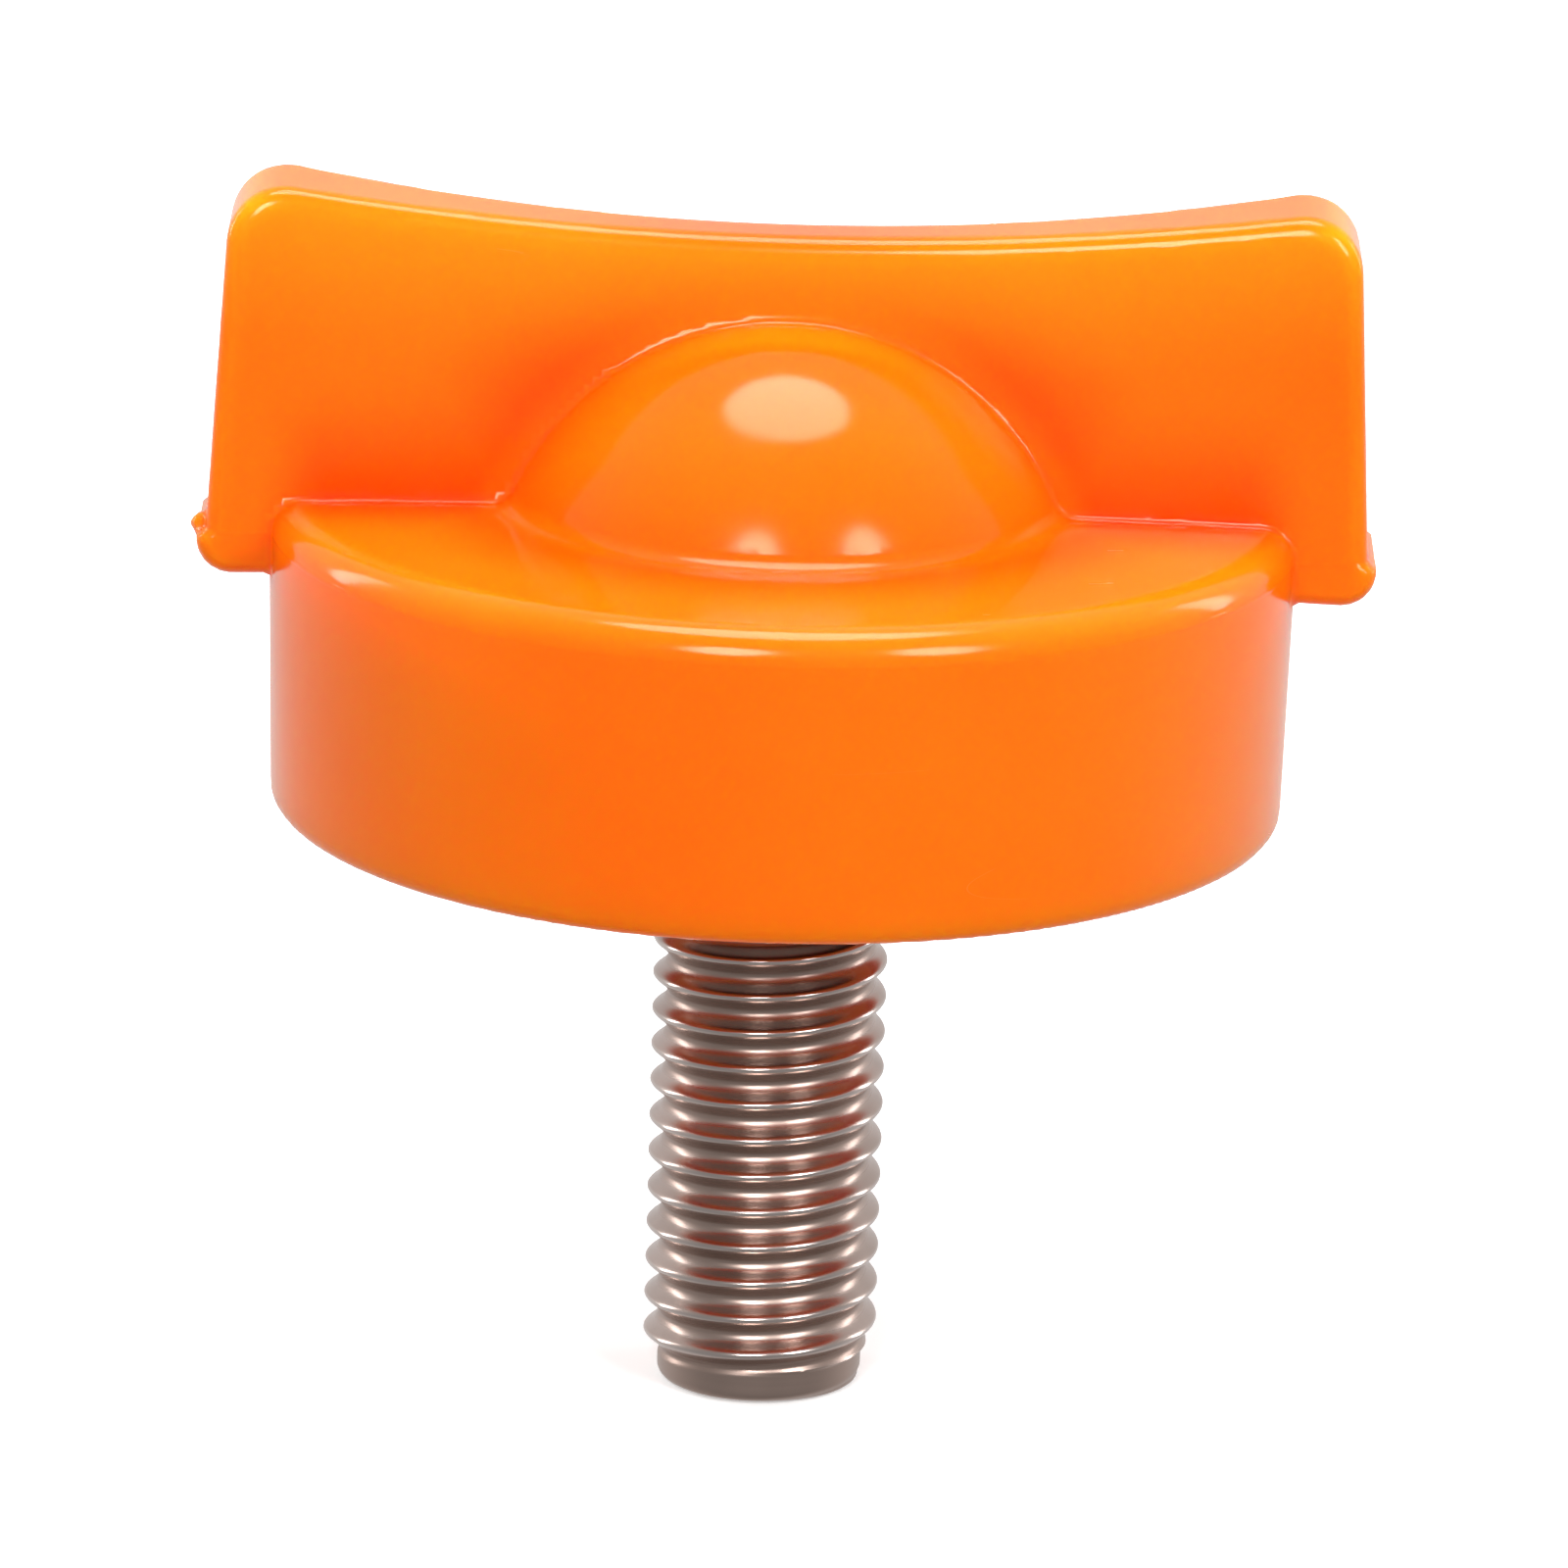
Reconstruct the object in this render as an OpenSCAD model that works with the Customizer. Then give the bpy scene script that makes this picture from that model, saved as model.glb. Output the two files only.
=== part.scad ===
// Wing screw: a moulded plastic wing head over a steel hex screw that is
// moulded into it. The origin is the centre of the seating face under the
// head, on the screw's axis. +Z runs up through the wing, and the wing
// spans X.

/* [Base] */
// Diameter of the round base at its parting line
base_d = 34; // [31:0.5:41]
// Height of the base from its seating face to its flat top
base_h = 10.5; // [9:0.5:14]
// Draft of the base's side, in degrees
base_draft = 1.3; // [0.5:0.1:3]
// Radius of the rounded shoulder round the top of the base
shoulder_r = 1.1; // [0.4:0.1:1.8]
// Radius of the edge round the foot of the base
foot_r = 0.5; // [0.2:0.1:0.8]

/* [Underside] */
// Wall of the hollow base's skirt
skirt_t = 2.2; // [1.6:0.1:3]
// Roof over the pockets in the underside
roof_t = 2.3; // [1.6:0.1:3]
// Plastic left round the corners of the screw head
hub_wall = 3.3; // [2:0.1:4]
// Number of ribs between the hub and the skirt
rib_count = 8; // [4:1:10]
// Thickness of a rib
rib_t = 1.4; // [1:0.1:2]
// Draft of the pocket walls, in degrees
pocket_draft = 1; // [0.5:0.1:2]
// Diameter of the relief in the seating face round the thread
relief_d = 9; // [8.5:0.1:11]
// Depth of that relief
relief_h = 0.6; // [0.3:0.1:1.2]

/* [Wing] */
// Length of the wing at the parting line
wing_len = 38.3; // [36:0.1:46]
// How far the lower half of each wing end stands proud of the upper
wing_step = 0.3; // [0:0.05:0.4]
// Height of the middle of the wing above the base
wing_rise = 9.1; // [7.5:0.1:14]
// Radius of the hollow curve along the top of the wing
wing_top_r = 103; // [60:1:200]
// Thickness of the wing at the middle of its top
wing_t = 2.6; // [2:0.1:4]
// Radius of the hollow curve of each wing face, seen from above
wing_face_r = 170; // [120:5:400]
// Draft of the wing's faces, in degrees
wing_face_draft = 2; // [0.5:0.25:3]
// Draft of the wing's ends, in degrees
wing_end_draft = 3; // [0.5:0.5:6]
// Corner radius at the top of each wing end
wing_corner_r = 2.2; // [1:0.1:3]
// Drop of the wing's underside below the top of the base
tab_drop = 2.55; // [2:0.05:3]
// Corner radius at the bottom of each wing end
tab_corner_r = 1.2; // [0.5:0.1:1.4]

/* [Dome] */
// Radius of the ball that the dome is part of
dome_r = 9.9; // [9:0.1:12]
// Height of the dome above the base
dome_rise = 6.4; // [5:0.1:8]

/* [Screw] */
// Major diameter of the thread as made
thread_d = 7.85; // [7.76:0.01:7.97]
// Diameter of the plain shank inside the plastic
shank_d = 7.2; // [7:0.05:7.3]
// Thread pitch
thread_pitch = 1.25; // [1:0.25:1.25]
// Length of screw that stands out of the head
stud_len = 20; // [10:1:40]
// Height of the screw head's underside above the seating face
head_z = 5; // [3:0.5:7]
// Width of the screw head across its flats
head_af = 13; // [12:0.1:13]
// Height of the screw head
head_h = 5.3; // [4:0.1:5.5]
// Diameter of the plain pilot at the screw's tip
pilot_d = 6.9; // [6.6:0.1:7.2]
// Length of the plain pilot at the screw's tip
pilot_len = 0.8; // [0.5:0.1:2]

/* [Hidden] */

ROUND = 96;             // facets of a circle in the preview
WIDE = 384;             // facets of the wing's wide curves in the preview
ARC_STEPS = 8;          // steps of a small rounded corner
TIP_CHAMFER = 0.25;     // chamfer on the end of the pilot
FLANK = 30;             // half of the thread's angle, in degrees
HEAD_CHAMFER = 30;      // angle of the chamfer on the screw head, in degrees
BEYOND = 1;             // how far a cutter passes the face that it cuts
CUT_DEPTH = 16;         // depth in Y of the blank that the wing is cut from

parting_z = base_h - shoulder_r;
base_r = base_d / 2;
foot_outer_r = base_r - parting_z * tan(base_draft);
head_corner_r = head_af / 2 / cos(30);
hub_r = head_corner_r + hub_wall;
skirt_inner_r = foot_outer_r - skirt_t;
pocket_h = base_h - roof_t;
dome_z = base_h + dome_rise - dome_r;
wing_half = wing_len / 2;
wing_arc_z = base_h + wing_rise + wing_top_r;
wing_mid_z = base_h + wing_rise;
crest_w = thread_pitch / 8;
root_w = thread_pitch / 4;
thread_depth = (thread_pitch - crest_w - root_w) / 2 / tan(FLANK);
thread_turns = floor((stud_len - pilot_len - crest_w) / thread_pitch);

// A point at distance r and angle a from the point c.
function polar(c, r, a) = [c[0] + r * cos(a), c[1] + r * sin(a)];

// ---------------------------------------------------------------- wing head

// The profile of the round base with its dome.
module base_profile() {
    shoulder = [base_r - shoulder_r, parting_z];
    foot = [foot_outer_r - foot_r, foot_r];
    intersection() {
        square([base_d, base_d]);
        union() {
            polygon([[0, 0], [foot[0], 0], polar(foot, foot_r, -base_draft),
                polar(shoulder, shoulder_r, -base_draft), [shoulder[0], base_h],
                [0, base_h]]);
            translate(shoulder) circle(shoulder_r, $fn = ROUND);
            translate(foot) circle(foot_r, $fn = ROUND);
            translate([0, dome_z]) circle(dome_r, $fn = ROUND);
        }
    }
}

// Points of an arc about the point c, from angle a0 to angle a1.
function arc(c, r, a0, a1) =
    [for (i = [0 : ARC_STEPS]) polar(c, r, a0 + (a1 - a0) * i / ARC_STEPS)];

// The outline of the wing, seen from the front: a slab with rounded corners
// and a lower half that is a little longer. Its top is left flat, for the
// hollow arc to be cut from.
module wing_outline() {
    tab_z = base_h - tab_drop;
    tab_half = wing_half + wing_step;
    tab_corner = [tab_half - tab_corner_r, tab_z + tab_corner_r];
    lean = tan(wing_end_draft);
    inset = wing_half + parting_z * lean - wing_corner_r / cos(wing_end_draft);
    along = inset * lean + wing_arc_z;
    apart = pow(inset, 2) + pow(wing_arc_z, 2) - pow(wing_top_r + wing_corner_r, 2);
    corner_z = (along - sqrt(pow(along, 2) - (1 + pow(lean, 2)) * apart))
        / (1 + pow(lean, 2));
    corner = [inset - lean * corner_z, corner_z];
    side = concat(
        arc(tab_corner, tab_corner_r, -90, 0),
        [[tab_half, parting_z], [wing_half, parting_z]],
        arc(corner, wing_corner_r, wing_end_draft, 90)
    );
    mirrored = [for (i = [len(side) - 1 : -1 : 0]) [-side[i][0], side[i][1]]];
    polygon(concat(side, mirrored));
}

// Cuts the hollow, drafted face on the +Y side of the wing.
module face_cutter() {
    reach = 2 * wing_mid_z;
    translate([0, wing_t / 2, wing_mid_z])
        rotate([wing_face_draft, 0, 0])
            translate([0, wing_face_r, -reach])
                cylinder(r = wing_face_r, h = 2 * reach, $fn = WIDE);
}

module wing() {
    difference() {
        rotate([90, 0, 0])
            translate([0, 0, -CUT_DEPTH / 2]) linear_extrude(CUT_DEPTH) wing_outline();
        translate([0, CUT_DEPTH, wing_arc_z])
            rotate([90, 0, 0]) cylinder(r = wing_top_r, h = 2 * CUT_DEPTH, $fn = WIDE);
        face_cutter();
        mirror([0, 1, 0]) face_cutter();
    }
}

// The pockets in the underside, between the ribs.
module pockets() {
    narrowing = pocket_h * tan(pocket_draft);
    difference() {
        translate([0, 0, -BEYOND])
            cylinder(r1 = skirt_inner_r + BEYOND * tan(pocket_draft),
                r2 = skirt_inner_r - narrowing, h = pocket_h + BEYOND, $fn = ROUND);
        translate([0, 0, -BEYOND])
            cylinder(r1 = hub_r - BEYOND * tan(pocket_draft), r2 = hub_r + narrowing,
                h = pocket_h + BEYOND, $fn = ROUND);
        for (i = [0 : rib_count - 1])
            rotate([0, 0, 360 / rib_count * (i + 0.5)])
                translate([0, -rib_t / 2, -2 * BEYOND])
                    cube([base_r, rib_t, base_h + 2 * BEYOND]);
    }
}

module wing_head() {
    color("darkorange")
    difference() {
        union() {
            rotate_extrude($fn = ROUND) base_profile();
            wing();
        }
        pockets();
        translate([0, 0, -BEYOND])
            cylinder(d = shank_d, h = head_z + 2 * BEYOND, $fn = ROUND);
        translate([0, 0, -BEYOND])
            cylinder(d = relief_d, h = relief_h + BEYOND, $fn = ROUND);
        screw_head();
    }
}

// ---------------------------------------------------------------- hex screw

// The head: a hexagon whose upper corners are cut off by a cone.
module screw_head() {
    chamfer_r = head_af / 2 * 0.95;
    drop = (head_corner_r - chamfer_r) * tan(HEAD_CHAMFER);
    translate([0, 0, head_z])
        intersection() {
            cylinder(r = head_corner_r, h = head_h, $fn = 6);
            union() {
                cylinder(r = head_corner_r + BEYOND, h = head_h - drop, $fn = ROUND);
                translate([0, 0, head_h - drop])
                    cylinder(r1 = head_corner_r, r2 = chamfer_r, h = drop, $fn = ROUND);
            }
        }
}

// One thread groove below its crest, going down from height z.
function thread_form(z) =
    let (r = thread_d / 2, flank_w = (thread_pitch - crest_w - root_w) / 2)
    [[r, z], [r, z - crest_w],
     [r - thread_depth, z - crest_w - flank_w],
     [r - thread_depth, z - crest_w - flank_w - root_w]];

// The threaded stud and the plain shank, as one turned profile. The thread
// is drawn as rings of the standard section, which keeps its crests true
// cylinders, where a real thread climbs as a helix.
module shank() {
    pilot_r = pilot_d / 2;
    profile = concat(
        [[0, head_z + head_h / 2], [shank_d / 2, head_z + head_h / 2], [shank_d / 2, 0]],
        [for (i = [0 : thread_turns - 1]) each thread_form(-i * thread_pitch)],
        [[pilot_r, -stud_len + pilot_len],
         [pilot_r, -stud_len + TIP_CHAMFER],
         [pilot_r - TIP_CHAMFER, -stud_len],
         [0, -stud_len]]
    );
    rotate_extrude($fn = ROUND) polygon(profile);
}

module hex_screw() {
    color("silver")
    union() {
        shank();
        screw_head();
    }
}

wing_head();
hex_screw();
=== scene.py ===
# %% [markdown]
# # A wing screw in orange plastic and polished steel
# This object is a hand screw. A moulded plastic head, with an upright wing to
# turn it by, sits on a steel screw whose hexagon head is buried in the plastic.
# The measured model comes first: it fixes the frame, the sizes and the names,
# and everything made here has to fit inside it.

# %% Open the measured model
import itertools

import bpy
import numpy as np
from mathutils import Matrix, Vector


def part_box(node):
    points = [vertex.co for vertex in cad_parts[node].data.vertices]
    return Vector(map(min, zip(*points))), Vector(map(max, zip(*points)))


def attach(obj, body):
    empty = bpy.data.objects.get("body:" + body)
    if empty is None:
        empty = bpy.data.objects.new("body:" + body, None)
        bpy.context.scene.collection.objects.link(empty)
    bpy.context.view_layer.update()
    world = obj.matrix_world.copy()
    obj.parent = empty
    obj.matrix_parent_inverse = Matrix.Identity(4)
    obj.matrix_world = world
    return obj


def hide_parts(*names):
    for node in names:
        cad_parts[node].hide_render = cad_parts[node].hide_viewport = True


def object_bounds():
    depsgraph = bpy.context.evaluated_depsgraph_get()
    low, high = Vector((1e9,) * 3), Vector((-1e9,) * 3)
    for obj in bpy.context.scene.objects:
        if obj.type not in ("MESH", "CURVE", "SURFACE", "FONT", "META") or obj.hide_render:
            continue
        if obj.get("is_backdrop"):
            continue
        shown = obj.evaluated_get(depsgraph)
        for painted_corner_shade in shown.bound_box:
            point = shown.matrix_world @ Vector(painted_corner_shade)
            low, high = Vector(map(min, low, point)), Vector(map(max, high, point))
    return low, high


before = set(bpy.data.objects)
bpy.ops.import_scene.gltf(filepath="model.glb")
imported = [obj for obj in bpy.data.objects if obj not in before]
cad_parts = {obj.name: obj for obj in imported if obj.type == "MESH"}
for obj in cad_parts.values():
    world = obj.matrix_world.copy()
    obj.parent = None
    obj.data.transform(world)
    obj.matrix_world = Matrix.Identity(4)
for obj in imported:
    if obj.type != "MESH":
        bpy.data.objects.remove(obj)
cad_low, cad_high = (np.array(painted_corner_shade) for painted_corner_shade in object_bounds())
print("nodes:", sorted(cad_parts))
print("size in mm:", ((cad_high - cad_low) * 1000).round(2))

# %% [markdown]
# ## Lengths
# A part this small is easiest to think about in millimetres, while the scene
# is in metres. The shapes below are all worked out in millimetres, and turned
# into metres once, when a mesh is made. The overall sizes are read from the
# measured model, so that the two can't drift apart.

# %% Sizes that the shapes share
MM = 0.001
head_high = np.array(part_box("wing_head")[1]) / MM
screw_low, screw_high = (np.array(c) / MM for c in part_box("hex_screw"))

BASE_R = head_high[1]            # the round base, at its parting line
BASE_H = 10.5                    # the flat top of the base
PARTING_Z = 9.4                  # where the two halves of the mould meet
DOME_R, DOME_TOP = 9.9, 16.9     # the dome's ball, and the height of its top
WING_MID_Z = 19.6                # the middle of the wing's hollow top
WING_TOP_R = 103                 # the hollow curve along the wing's top
WING_FACE_R = 170                # the hollow curve of each of its faces
TAB_HALF = head_high[0]          # half of the wing's length, below the parting line
WING_HALF = TAB_HALF - 0.3       # and above it
STUD_TIP = screw_low[2]          # the end of the screw
SCREW_TOP = screw_high[2]        # the top of its buried head
HEX_Z = 5.0                      # the underside of that head
HEX_HALF = 6.5                   # half of its width across the flats
print(f"base radius {BASE_R:.2f}, wing half-length {TAB_HALF:.2f}, tip at {STUD_TIP:.2f}")

# %% [markdown]
# ## The shape of the plastic head
# The head shows no sharp edge: the wing runs into the dome and the base in
# small hollows, and the outer edges are rolled over. It could be made from
# blocks with Boolean and Bevel modifiers, but a bevel breaks down where three
# curved hollows meet. A single grid of two parameters can't fold over the wing
# and into the pockets underneath either.
#
# So the head is written as a field: a function that gives, for any point in
# space, roughly how far that point is outside the plastic, and a negative
# number inside it. Fields are easy to combine. The smaller of two fields joins
# two shapes, the larger one keeps what they share, and a small change to either
# rule rolls the edge to a true radius.

# %% Combining fields
def round_cut(a, b, radius):
    """What is inside both a and b, with the edge between them rolled to a radius.

    Deep inside it is the larger of the two. Within one radius of the edge it is
    the distance from an arc: the hypotenuse of (a + radius) and (b + radius),
    less the radius.
    """
    return np.minimum(np.maximum(a, b), -radius) + np.hypot(
        np.maximum(a + radius, 0), np.maximum(b + radius, 0))


def round_join(a, b, radius):
    """What is inside a or b, with a hollow of that radius in the corner between.

    It is round_cut turned inside out, so the arc is on the open side.
    """
    return -round_cut(-a, -b, radius)


def ease(t):
    """A smooth step: 0 below 0, 1 above 1, and 3t^2 - 2t^3 between."""
    t = np.clip(t, 0, 1)
    return t * t * (3 - 2 * t)


# %% The round base and its dome
def base_field(x, y, z):
    """A drafted cylinder with a rolled shoulder and foot, joined to a ball.

    The side is a cone: the radius less BASE_R, plus the depth below the parting
    line times the tangent of the draft. The ball is the distance from its
    centre, less its radius.
    """
    draft = np.radians(1.3)
    r = np.hypot(x, y)
    side = (r - BASE_R + (PARTING_Z - z) * np.tan(draft)) * np.cos(draft)
    base = round_cut(side, z - BASE_H, 1.1)
    base = round_cut(base, -z, 0.5)
    dome = np.sqrt(r * r + (z - DOME_TOP + DOME_R) ** 2) - DOME_R
    return round_join(base, dome, 0.5)


# %% The wing
WING_SHIFT = 0.13                # how far the wing's mould sits off centre in X
TAB_Z = 7.95                     # the wing's underside, where it overhangs the base


def wing_field(x, y, z):
    """A slab with hollow faces, a hollow top and drafted ends.

    Half of its thickness at a point is 1.3, plus the depth of an arc of radius
    170 at that x, plus the depth below the top times the tangent of the draft.
    The top is an arc of radius 103 about a centre high above the wing. The
    ends lean in going up, and stand 0.3 proud below the parting line.
    """
    x = x - WING_SHIFT
    face_draft, end_draft = np.radians(2.0), np.radians(3.0)
    bow = WING_FACE_R - np.sqrt(WING_FACE_R**2 - x * x)
    half = 1.3 + bow + (WING_MID_Z - z) * np.tan(face_draft)
    face = (np.abs(y) - half) * np.cos(face_draft)
    step = (TAB_HALF - WING_HALF) * ease((PARTING_Z + 0.1 - z) / 0.3)
    reach = WING_HALF + step - np.maximum(z - PARTING_Z, 0) * np.tan(end_draft)
    end = (np.abs(x) - reach) * np.cos(end_draft)
    top = WING_TOP_R - np.hypot(x, z - WING_MID_Z - WING_TOP_R)
    outline = round_cut(end, top, 2.2)
    outline = round_cut(outline, TAB_Z - z, 1.2)
    return round_cut(outline, face, 0.6)


# %% [markdown]
# ### The underside
# Thick plastic sinks and warps as it cools, so a head like this is cored from
# below: a hub is left round the screw, a skirt round the edge, and thin ribs
# tie the two together. The ribs come from folding the angle round the axis, so
# that one wedge describes all eight pockets.

# %% The pockets, the relief and the hole for the screw
RIBS = 8
SHANK_R = 3.6                    # the screw's plain shank, inside the plastic


def pocket_field(x, y, z):
    """The space between hub and skirt, less the ribs, up to the roof.

    Its walls lean by one degree, and a rib is 1.4 thick at its foot. The angle
    is folded into one sector, half of it either side of a pocket's middle. The
    distance to the nearest rib's middle plane is then the radius times the sine
    of the angle that is left.
    """
    r, lean = np.hypot(x, y), np.tan(np.radians(1.0))
    sector = np.pi / RIBS
    angle = np.mod(np.arctan2(y, x) + sector, 2 * sector) - sector
    rib = 0.7 + z * lean * 0.5 - r * np.sin(np.maximum(sector - np.abs(angle), 0))
    ring = round_cut(r - (14.59 - z * lean), (10.8 + z * lean) - r, 0.3)
    return round_cut(round_cut(ring, rib, 0.5), z - 8.2, 0.6)


def screw_space_field(x, y, z):
    """The relief round the thread, the shank's hole and the hexagon's seat."""
    r = np.hypot(x, y)
    relief = round_cut(r - 4.5, z - 0.6, 0.1)
    shank = round_cut(r - SHANK_R, z - HEX_Z - 1.0, 0.1)
    turns = np.radians([0, 60, 120])
    flats = [np.abs(x * np.sin(t) - y * np.cos(t)) - HEX_HALF for t in turns]
    hexagon = np.maximum.reduce(flats + [HEX_Z - z, z - SCREW_TOP])
    return np.minimum(np.minimum(relief, shank), hexagon)


def nib_field(x, y, z, side, y0, z0):
    """A small ball of flash squeezed out at the wing's end, flattened in Z."""
    return np.sqrt((x - side * (TAB_HALF - 0.33)) ** 2 + (y - y0) ** 2
                   + ((z - z0) * 1.2) ** 2) - 0.42


def head_field(x, y, z):
    """The whole plastic head: base, dome and wing, less what is cored out."""
    solid = round_join(base_field(x, y, z), wing_field(x, y, z), 0.22)
    solid = round_join(solid, nib_field(x, y, z, -1, -1.6, 9.5), 0.2)
    solid = round_join(solid, nib_field(x, y, z, 1, -1.2, 9.0), 0.2)
    solid = round_cut(solid, -pocket_field(x, y, z), 0.25)
    return np.maximum(solid, -screw_space_field(x, y, z))


print("field near the dome's side:", round(float(head_field(0.0, 8.0, 12.7)), 4))

# %% [markdown]
# ### From a field to a mesh
# The surface is where the field is zero. A grid of sample points finds every
# small cell that the surface passes through, each such cell gets one vertex,
# and four cells round a crossed grid line make one quad. The vertices are then
# slid along the field's slope until they sit on the surface to a thousandth of
# a millimetre, and the same slope gives the normals, so that long highlights
# stay smooth.

# %% Meshing a field
def slope(field, p, h=0.004):
    """The field's gradient at points p: central differences along each axis."""
    shift = np.eye(3) * h
    return np.stack([(field(*(p + s).T) - field(*(p - s).T)) / (2 * h) for s in shift], 1)


def settle(field, p, rounds=6, longest=0.12):
    """Newton's method: each point moves by minus value times slope over slope^2."""
    for _ in range(rounds):
        g = slope(field, p)
        move = -field(*p.T)[:, None] * g / np.maximum((g * g).sum(1), 0.05)[:, None]
        size = np.linalg.norm(move, axis=1, keepdims=True)
        p = p + move * np.minimum(1, longest / np.maximum(size, 1e-9))
    return p


def mesh_field(field, low, high, step):
    """Vertices, quads and normals of a field's zero surface, all as arrays."""
    axes = [np.arange(a, b + step, step) for a, b in zip(low, high)]
    value = field(*np.meshgrid(*axes, indexing="ij"))
    inside = value < 0
    shape = np.array(value.shape)
    count = sum(inside[i:shape[0] - 1 + i, j:shape[1] - 1 + j, k:shape[2] - 1 + k].astype(int)
                for i, j, k in itertools.product((0, 1), repeat=3))
    cells = np.argwhere((count > 0) & (count < 8))
    number = np.full(count.shape, -1)
    number[tuple(cells.T)] = np.arange(len(cells))

    total, hits = np.zeros(cells.shape), np.zeros((len(cells), 1))
    unit = np.eye(3, dtype=int)
    for axis in range(3):
        for i, j in itertools.product((0, 1), repeat=2):
            a = cells + i * unit[(axis + 1) % 3] + j * unit[(axis + 2) % 3]
            va, vb = value[tuple(a.T)], value[tuple((a + unit[axis]).T)]
            cross = (va < 0) != (vb < 0)
            t = np.where(cross, va / np.where(cross, va - vb, 1), 0)
            total += np.where(cross[:, None], a + t[:, None] * unit[axis], 0)
            hits += cross[:, None]
    points = np.array(low) + step * total / hits

    quads = []
    for axis in range(3):
        u, v = unit[(axis + 1) % 3], unit[(axis + 2) % 3]
        first = np.argwhere(np.diff(inside.astype(int), axis=axis) != 0)
        ring = [number[tuple((first + s).T)] for s in (-u - v, -v, 0 * u, -u)]
        ring = np.stack(ring, 1)
        solid_first = inside[tuple(first.T)]
        quads.append(np.where(solid_first[:, None], ring, ring[:, ::-1]))
    quads = np.concatenate(quads)
    points = settle(field, points)
    normals = slope(field, points)
    normals /= np.linalg.norm(normals, axis=1, keepdims=True)
    return points, quads, normals


def make_piece(name, points, faces, normals=None):
    """A mesh object from points in millimetres, riding on the object's one body."""
    mesh = bpy.data.meshes.new(name)
    mesh.from_pydata((points * MM).tolist(), [], faces.tolist()
                     if isinstance(faces, np.ndarray) else faces)
    mesh.validate()
    mesh.shade_smooth()
    if normals is not None and len(mesh.vertices) == len(normals):
        mesh.normals_split_custom_set_from_vertices(normals.tolist())
    piece = bpy.data.objects.new(name, mesh)
    bpy.context.scene.collection.objects.link(piece)
    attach(piece, "wing_screw")
    return piece


# %% Make the head
HEAD_BOX = (-20.6, -17.8, -0.65), (20.6, 17.8, 22.0)
head_points, head_quads, head_normals = mesh_field(head_field, *HEAD_BOX, step=0.28)
head = make_piece("plastic_head", head_points, head_quads, head_normals)
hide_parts("wing_head")
print("head:", len(head_points), "vertices,", 2 * len(head_quads), "triangles")
print("worst distance from the surface:", np.abs(head_field(*head_points.T)).max().round(4), "mm")

# %% [markdown]
# ## The screw
# The thread is rolled: hardened dies squeeze the groove in and push the metal
# up into the crest, so both are a little rounded. A thread can be a profile
# carried along a helix, but its ends are then hard to close. Here the screw is
# one skin over an upright grid, angle one way and height the other, and the
# helix is in the radius: turning once round moves the groove up by one pitch.

# %% The radius of the threaded stud
PITCH, CREST_R, ROOT_R, PILOT_R = 1.25, 3.92, 3.42, 3.42


def soft_min(a, b, k):
    """The smaller of a and b, with the corner between them rounded over width k."""
    h = np.clip(0.5 + 0.5 * (b - a) / k, 0, 1)
    return b * (1 - h) + a * h - k * h * (1 - h)


def soft_max(a, b, k):
    """The larger of a and b, rounded in the same way."""
    return -soft_min(-a, -b, k)


def thread_radius(angle, z):
    """The radius of a right-hand thread at an angle and a height.

    The turn is z over the pitch less the share of a circle, plus a start of 0.28,
    and how far it is from a whole number, times the pitch, is the distance off
    the crest. The flank falls 1.27 times that distance, and is held softly between
    the root and the crest. Towards the tip a cone holds the crest down and the
    groove runs out on to the plain pilot, whose end is rolled over.
    """
    turn = z / PITCH - angle / (2 * np.pi) + 0.28
    off = np.abs(turn - np.round(turn)) * PITCH
    flank = CREST_R + (0.07 - off) * 1.27
    root = ROOT_R + (PILOT_R - 0.13 - ROOT_R) * ease((STUD_TIP + 1.7 - z) / 0.9)
    r = soft_max(soft_min(flank, CREST_R, 0.12), root, 0.24)
    cone = PILOT_R + np.maximum(z - STUD_TIP - 1.05, 0) * 1.3
    r = soft_min(r, cone, 0.10)
    nose = 0.35
    drop = np.clip((STUD_TIP + nose - z) / nose, 0, 1)
    return r - nose * (1 - np.sqrt(1 - drop**2)) * 0.75


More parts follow.
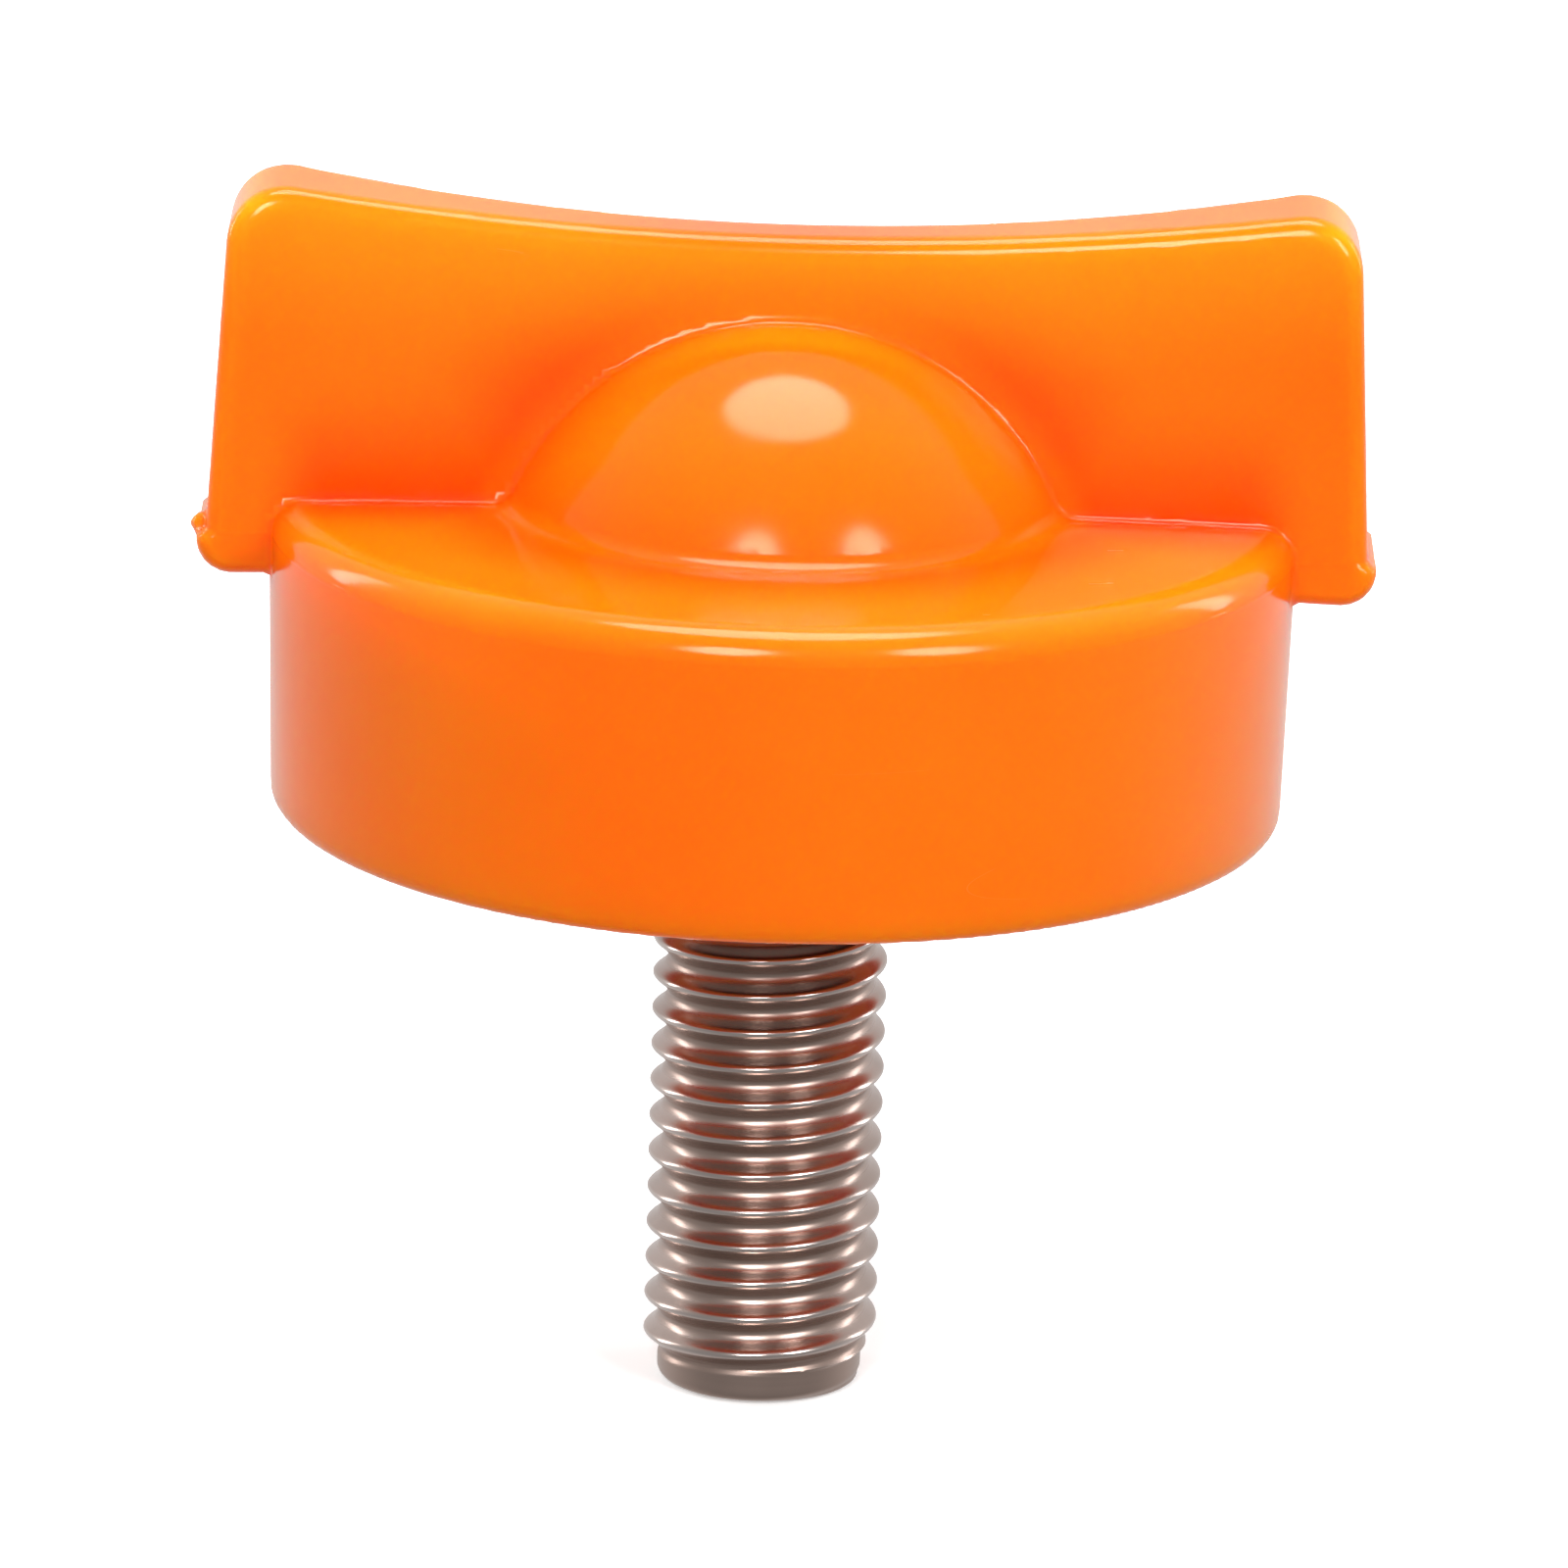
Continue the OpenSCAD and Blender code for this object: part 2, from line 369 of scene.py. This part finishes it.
# %% The screw's skin
def screw_skin(columns=144, rows=404):
    """Rows of the screw from the tip's middle to the middle of its head's top.

    A point is (r cos a, r sin a, z). The tip and the top are flat discs, drawn
    in over a few rows to one closing point each. The hexagon's radius is half
    of its width across the flats over the cosine of the angle from the nearest
    flat, held inside a cone at its upper corners.
    """
    a = np.arange(columns) * 2 * np.pi / columns
    rise = np.linspace(STUD_TIP, 0.0, rows)
    rise[1:8] = STUD_TIP + np.linspace(0.004, rise[8] - STUD_TIP, 8)[:-1]
    stud_z = np.repeat(rise[:, None], columns, 1)
    stud_r = thread_radius(a[None, :], stud_z)
    hexagon = HEX_HALF / np.cos(a % (np.pi / 3) - np.pi / 6)
    chamfer_r = HEX_HALF * 0.95
    chamfer_w = HEX_HALF / np.cos(np.pi / 6) - chamfer_r
    chamfer_h = chamfer_w * np.tan(np.pi / 6)
    shank, steps = np.full(columns, SHANK_R), (0.66, 0.33, 0.0)
    upper_r = np.array([shank, shank, hexagon, hexagon]
                       + [np.minimum(hexagon, chamfer_r + chamfer_w * k) for k in steps]
                       + [np.full(columns, chamfer_r * k) for k in (0.6, 0.3)])
    upper_z = np.array([0.0, HEX_Z, HEX_Z, SCREW_TOP - chamfer_h]
                       + [SCREW_TOP - chamfer_h * k for k in steps] + [SCREW_TOP] * 2)
    tip_r = np.array([stud_r[0] * k for k in (0.25, 0.5, 0.75, 0.92)])
    r = np.concatenate([tip_r, stud_r, upper_r])
    z = np.concatenate([np.full((4, columns), STUD_TIP), stud_z,
                        np.repeat(upper_z[:, None], columns, 1)])
    grid = np.stack([r * np.cos(a), r * np.sin(a), z], 2).reshape(-1, 3)
    row_count = len(r)
    points = np.concatenate([grid, [[0, 0, STUD_TIP], [0, 0, SCREW_TOP]]])
    i, j = np.meshgrid(np.arange(row_count - 1), np.arange(columns), indexing="ij")
    k = (j + 1) % columns
    quads = np.stack([i * columns + j, i * columns + k, (i + 1) * columns + k,
                      (i + 1) * columns + j], 2).reshape(-1, 4)
    around, ahead = np.arange(columns), (np.arange(columns) + 1) % columns
    last = (row_count - 1) * columns
    low_fan = np.stack([np.full(columns, len(grid)), ahead, around], 1)
    high_fan = np.stack([np.full(columns, len(grid) + 1), last + around, last + ahead], 1)
    faces = quads.tolist() + low_fan.tolist() + high_fan.tolist()
    return points, faces


screw_points, screw_faces = screw_skin()
screw = make_piece("steel_screw", screw_points, screw_faces)
screw.data.set_sharp_from_angle(angle=np.radians(50))
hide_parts("hex_screw")
print("screw:", len(screw_points), "vertices, widest", np.hypot(*screw_points[:, :2].T).max().round(2))

# %% [markdown]
# ## Materials as arithmetic
# A finish is a lot of small sums: this noise times that mask, plus a little
# wear. Written out as nodes they are hard to read, so a socket is wrapped in a
# class that ordinary arithmetic works on. Each operator adds one Math node.

# %% A socket that arithmetic works on
class Number:
    """A number that varies over a surface. Sums on it add Math nodes."""

    def __init__(self, finish, socket):
        self.finish, self.socket = finish, socket

    def math(self, operation, *others, swap=False):
        values = [self, *others]
        values = values[::-1] if swap else values
        return self.finish.add("ShaderNodeMath", {"operation": operation},
                               dict(enumerate(values)))

    def __add__(self, other): return self.math("ADD", other)
    def __radd__(self, other): return self.math("ADD", other)
    def __sub__(self, other): return self.math("SUBTRACT", other)
    def __rsub__(self, other): return self.math("SUBTRACT", other, swap=True)
    def __mul__(self, other): return self.math("MULTIPLY", other)
    def __rmul__(self, other): return self.math("MULTIPLY", other)
    def __truediv__(self, other): return self.math("DIVIDE", other)
    def __pow__(self, other): return self.math("POWER", other)
    def __lt__(self, other): return self.math("LESS_THAN", other)
    def __gt__(self, other): return self.math("GREATER_THAN", other)
    def __abs__(self): return self.math("ABSOLUTE")

    def ramp(self, start, end):
        """0 at start, 1 at end, and a smooth rise between. start may be the larger."""
        return self.finish.add("ShaderNodeMapRange", {"interpolation_type": "SMOOTHSTEP"},
                               {"Value": self, "From Min": start, "From Max": end})


# %% A finish: one material and its nodes
class Finish:
    """A material. add() makes any node from its type, settings and inputs."""

    def __init__(self, name):
        self.material = bpy.data.materials.new(name)
        self.material.use_nodes = True
        self.nodes = self.material.node_tree.nodes
        self.links = self.material.node_tree.links
        self.nodes.clear()
        place = self.nodes.new("ShaderNodeTexCoord")
        self.place = Number(self, place.outputs["Object"])
        axes = self.nodes.new("ShaderNodeSeparateXYZ")
        self.links.new(place.outputs["Object"], axes.inputs[0])
        self.x, self.y, self.z = (Number(self, axes.outputs[k]) for k in range(3))

    def add(self, kind, settings=None, inputs=None, output=0):
        node = self.nodes.new(kind)
        for key, value in (settings or {}).items():
            setattr(node, key, value)
        for key, value in (inputs or {}).items():
            if isinstance(value, Number):
                self.links.new(value.socket, node.inputs[key])
            else:
                node.inputs[key].default_value = value
        return Number(self, node.outputs[output])

    def noise(self, size, detail, stretch=None):
        """Soft noise whose blots are about size metres across."""
        place = self.place
        if stretch is not None:
            place = self.add("ShaderNodeMapping", None, {"Vector": place, "Scale": stretch})
        return self.add("ShaderNodeTexNoise", None,
                        {"Vector": place, "Scale": 1 / size, "Detail": detail}, "Fac")

    def blend(self, share, low, high):
        """A colour that goes from low to high as share goes from 0 to 1."""
        return self.add("ShaderNodeMix", {"data_type": "RGBA"},
                        {"Factor": share, 6: low, 7: high}, 2)

    def bump(self, height):
        """A normal from a height in metres."""
        return self.add("ShaderNodeBump", None, {"Height": height, "Distance": 1.0})

    def finish(self, shader_inputs, *pieces):
        shader = self.add("ShaderNodeBsdfPrincipled", None, shader_inputs)
        out = self.nodes.new("ShaderNodeOutputMaterial")
        self.links.new(shader.socket, out.inputs["Surface"])
        for piece in pieces:
            piece.data.materials.clear()
            piece.data.materials.append(self.material)
        print(self.material.name, "has", len(self.nodes), "nodes")


# %% [markdown]
# ## Glossy orange polypropylene
# The plastic is coloured right through and slightly milky, so light goes a
# little way in and comes out redder. That alone leaves the faces too even, so
# two masks are painted into the colour as well: painted shade, a deep
# red-orange in the corners between wing, dome and base where light is blocked,
# and painted light, a paler yellow just under the wing's thin top edge, where
# light likely comes through from behind. They are matched and don't follow
# the light.
#
# A corner is found from the distances to three surfaces: at a point on one of
# them, the middle distance of the three says how near the next one is.
#
# The mould was polished, but not perfectly. The surface has slow waves where
# thick plastic shrank, a finer unevenness, a hairline where the mould's halves
# met, a few dark specks in the plastic and fine scratches from handling.

# %% The plastic's patterns
plastic = Finish("glossy_orange_plastic")
waves = plastic.noise(0.009, 1.0)
skin = plastic.noise(0.0012, 3.0)
handled = plastic.noise(0.006, 2.0)
scratch_field = plastic.noise(0.003, 0.0, stretch=(0.12, 1.0, 1.3))
scratches = (abs(scratch_field - 0.5) < 0.0016) * handled.ramp(0.63, 0.69)

speck_cells = {"Vector": plastic.place, "Scale": 260.0}
speck_near = plastic.add("ShaderNodeTexVoronoi", None, speck_cells, "Distance")
speck_pick = plastic.add("ShaderNodeSeparateColor", None, {
    0: plastic.add("ShaderNodeTexVoronoi", None, speck_cells, "Color")})
specks = speck_near.ramp(0.045, 0.025) * (speck_pick > 0.9)

reach = (plastic.x * plastic.x + plastic.y * plastic.y) ** 0.5
outer = ((reach > 16.6 * MM) * (plastic.z < 10.2 * MM)).math("MAXIMUM", abs(plastic.x) > 18.6 * MM)
parting = (abs(plastic.z - PARTING_Z * MM) / MM).ramp(0.11, 0.02) * outer

# %% Painted shade in the corners and painted light under the wing's top edge
wing_gap = (abs(plastic.y) - 2.1 * MM).math("MAXIMUM", 0.0)
top_gap = (plastic.z - BASE_H * MM).math("MAXIMUM", 0.0)
dome_rise = plastic.z - (DOME_TOP - DOME_R) * MM
from_centre = (reach * reach + dome_rise * dome_rise) ** 0.5
dome_gap = (from_centre - DOME_R * MM).math("MAXIMUM", 0.0)
wider = wing_gap.math("MAXIMUM", top_gap).math("MINIMUM", dome_gap)
corner_gap = wing_gap.math("MINIMUM", top_gap).math("MAXIMUM", wider)
on_base = abs(plastic.x).ramp(17.5 * MM, 15.0 * MM) * plastic.z.ramp(9.0 * MM, 10.2 * MM)
off_dome = 0.35 + 0.65 * dome_gap.ramp(0.0, 1.4 * MM)
# Painted shade: a deep red-orange in the corners where wing, dome and base meet.
painted_corner_shade = corner_gap.ramp(5.0 * MM, -1.0 * MM) * on_base * off_dome

below_top = (WING_MID_Z * MM - plastic.z) + plastic.x * plastic.x / (2 * WING_TOP_R * MM)
on_wing = abs(plastic.y).ramp(3.4 * MM, 2.6 * MM) * plastic.z.ramp(10.5 * MM, 13.0 * MM)
# Painted light: a paler yellow band just under the wing's thin top edge.
painted_edge_light = below_top.ramp(5.5 * MM, -1.5 * MM) * below_top.ramp(0.0, 0.8 * MM) * on_wing

# %% The plastic's shader
milky = plastic.noise(0.014, 2.0)
colour = plastic.blend(milky.ramp(0.3, 0.7), (0.95, 0.152, 0.001, 1), (1.0, 0.180, 0.002, 1))
# Painted shade in the corners between wing, dome and base.
colour = plastic.blend(painted_corner_shade * 0.9, colour, (0.93, 0.040, 0.000, 1))
# Painted light under the wing's thin top edge.
colour = plastic.blend(painted_edge_light, colour, (1.0, 0.310, 0.004, 1))
colour = plastic.blend(specks * 0.85, colour, (0.16, 0.03, 0.004, 1))
colour = plastic.blend(scratches * 0.04, colour, (1.0, 0.42, 0.16, 1))
rough = 0.09 + 0.07 * handled.ramp(0.35, 0.75) + 0.05 * skin + 0.18 * scratches
height = waves * 5e-5 + skin * 1.6e-6 - scratches * 1.6e-6 + parting * 8e-6 + specks * 1e-5
plastic.finish({
    "Base Color": colour, "Roughness": rough, "Normal": plastic.bump(height),
    "IOR": 1.49, "Specular IOR Level": 0.34, "Specular Tint": (1.0, 0.84, 0.62, 1),
    "Subsurface Weight": 1.0, "Subsurface Radius": (1.0, 0.55, 0.08),
    "Subsurface Scale": 0.0038}, head)

# %% [markdown]
# ## Polished stainless steel
# The screw is bright, but its grooves are darker and rougher, and turning
# it in holes has rubbed fine rings round it and polished the crests. Metal is
# mostly what it reflects, so the head's orange shows in every upper flank, and
# a warm, rather dark grey underneath keeps the rest quiet. The radius from the
# axis tells the groove from the crest, so one mask is enough for each.

# %% The steel's patterns and shader
steel = Finish("polished_stainless_steel")
radius = (steel.x * steel.x + steel.y * steel.y) ** 0.5
rings = steel.noise(0.0016, 3.0, stretch=(0.12, 0.12, 9.0))
cloud = steel.noise(0.003, 3.0)
groove = radius.ramp(3.58 * MM, 3.38 * MM) * (steel.z < 0.0)
crest = radius.ramp(3.86 * MM, 3.92 * MM)
tone = steel.blend(cloud.ramp(0.3, 0.7), (0.44, 0.345, 0.305, 1), (0.53, 0.42, 0.375, 1))
# The grooves are coloured darker.
tone = steel.blend(groove * (0.30 + 0.5 * cloud), tone, (0.30, 0.20, 0.16, 1))
tone = steel.blend(crest * 0.7, tone, (0.62, 0.55, 0.52, 1))
shine = 0.17 + 0.10 * rings + 0.12 * groove + 0.05 * cloud - 0.06 * crest
steel.finish({
    "Base Color": tone, "Metallic": 1.0, "Roughness": shine,
    "Normal": steel.bump(rings * 4e-6 + cloud * 3e-6)}, screw)

# %% [markdown]
# ## The studio
# A small glossy part is lit by what it reflects. One large soft light hangs
# straight overhead, which gives the dome its one broad highlight. Two smaller
# ones stand in front, high up, and draw a pair of bright spots on each turn of
# the thread. Two narrow ones stand behind, to the left and to the right. The
# room is brighter behind the object than in front of it, so the rims turn pale
# and the faces keep a full colour.
#
# The floor is a plain pale sheet at the height of the screw's tip, far larger
# than the object. It glows a little, like paper on a light table, which keeps
# the shadow faint. It is left out of mirror and bounce light, which would lay
# a white veil over the plastic: the room's own light stands in for it there.

# %% Floor, lights and world
def floor_sheet(z, half=3.0):
    """A flat square of side twice half, facing up, at height z in metres."""
    mesh = bpy.data.meshes.new("floor")
    mesh.from_pydata([(-half, -half, z), (half, -half, z), (half, half, z), (-half, half, z)],
                     [], [(0, 1, 2, 3)])
    sheet = bpy.data.objects.new("floor", mesh)
    bpy.context.scene.collection.objects.link(sheet)
    sheet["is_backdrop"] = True
    return sheet


floor = floor_sheet(float(cad_low[2]) - 0.0001)
floor.visible_glossy = False
floor.visible_diffuse = False
paper = Finish("pale_floor")
paper.finish({"Base Color": paper.blend(paper.noise(0.02, 2.0), (0.86, 0.86, 0.86, 1),
                                        (0.90, 0.90, 0.90, 1)),
              "Roughness": 0.85, "Specular IOR Level": 0.1,
              "Emission Color": (1, 1, 1, 1), "Emission Strength": 0.35}, floor)


def soft_light(name, place, aim, size, watts):
    """A soft oval light at place, facing aim, of that width and height."""
    lamp = bpy.data.lights.new(name, "AREA")
    lamp.shape, lamp.size, lamp.size_y = "ELLIPSE", *size
    lamp.energy = watts
    lamp_object = bpy.data.objects.new(name, lamp)
    towards = Vector(aim) - Vector(place)
    lamp_object.matrix_world = Matrix.Translation(place) @ towards.to_track_quat(
        "-Z", "Y").to_matrix().to_4x4()
    bpy.context.scene.collection.objects.link(lamp_object)


soft_light("overhead", (0.0, 0.05, 0.70), (0, 0, 0), (0.46, 0.40), 4.6)
soft_light("front left", (-0.165, -0.777, 0.42), (0, 0, 0), (0.28, 0.40), 4.8)
soft_light("front right", (0.478, -0.635, 0.42), (0, 0, 0), (0.28, 0.40), 4.2)
soft_light("left", (-0.60, 0.25, 0.18), (0, 0, 0.005), (0.12, 0.45), 0.9)
soft_light("right", (0.60, 0.25, 0.18), (0, 0, 0.005), (0.12, 0.45), 0.8)

world = bpy.data.worlds.new("studio")
world.use_nodes = True
nodes, links = world.node_tree.nodes, world.node_tree.links
sky, split, strength = (nodes.new("ShaderNode" + kind) for kind in (
    "TexCoord", "SeparateXYZ", "MapRange"))
strength.interpolation_type = "SMOOTHSTEP"
for key, value in {"From Min": -0.6, "From Max": 0.8, "To Min": 0.36, "To Max": 0.80}.items():
    strength.inputs[key].default_value = value
links.new(sky.outputs["Generated"], split.inputs[0])
links.new(split.outputs["Y"], strength.inputs["Value"])
links.new(strength.outputs["Result"], nodes["Background"].inputs["Strength"])
nodes["Background"].inputs["Color"].default_value = (1, 1, 1, 1)
bpy.context.scene.world = world
bpy.context.scene.view_settings.view_transform = "Standard"

# %% [markdown]
# ## The camera
# The view is from well back with a long lens, a little above the object and
# straight on to the wing. The camera is turned by under two degrees about its
# own line of sight, so the object leans slightly clockwise.

# %% Place the camera
def put_camera(pitch, roll, distance, across, up, lens):
    """A camera that looks along (0, cos pitch, -sin pitch), turned by roll.

    It stands back by distance along that line, then moves by across along X and
    by up along the picture's own vertical.
    """
    p, t = np.radians(pitch), np.radians(roll)
    ahead = np.array([0, np.cos(p), -np.sin(p)])
    rise = np.array([0, np.sin(p), np.cos(p)])
    side = np.array([1.0, 0, 0])
    right = np.cos(t) * side + np.sin(t) * rise
    upward = np.cos(t) * rise - np.sin(t) * side
    place = -distance * ahead + across * side + up * rise
    matrix = Matrix(np.column_stack([right, upward, -ahead]).tolist()).to_4x4()
    matrix.translation = Vector(place)
    data = bpy.data.cameras.new("camera")
    data.sensor_fit, data.sensor_width, data.lens = "HORIZONTAL", 36.0, lens
    data.clip_start, data.clip_end = 0.01, 20.0
    camera = bpy.data.objects.new("camera", data)
    camera.matrix_world = matrix
    bpy.context.scene.collection.objects.link(camera)
    bpy.context.scene.camera = camera
    return place


print("camera at", put_camera(16.09, 1.712, 0.43173, 0.00028, 0.00061, 297.7).round(4))
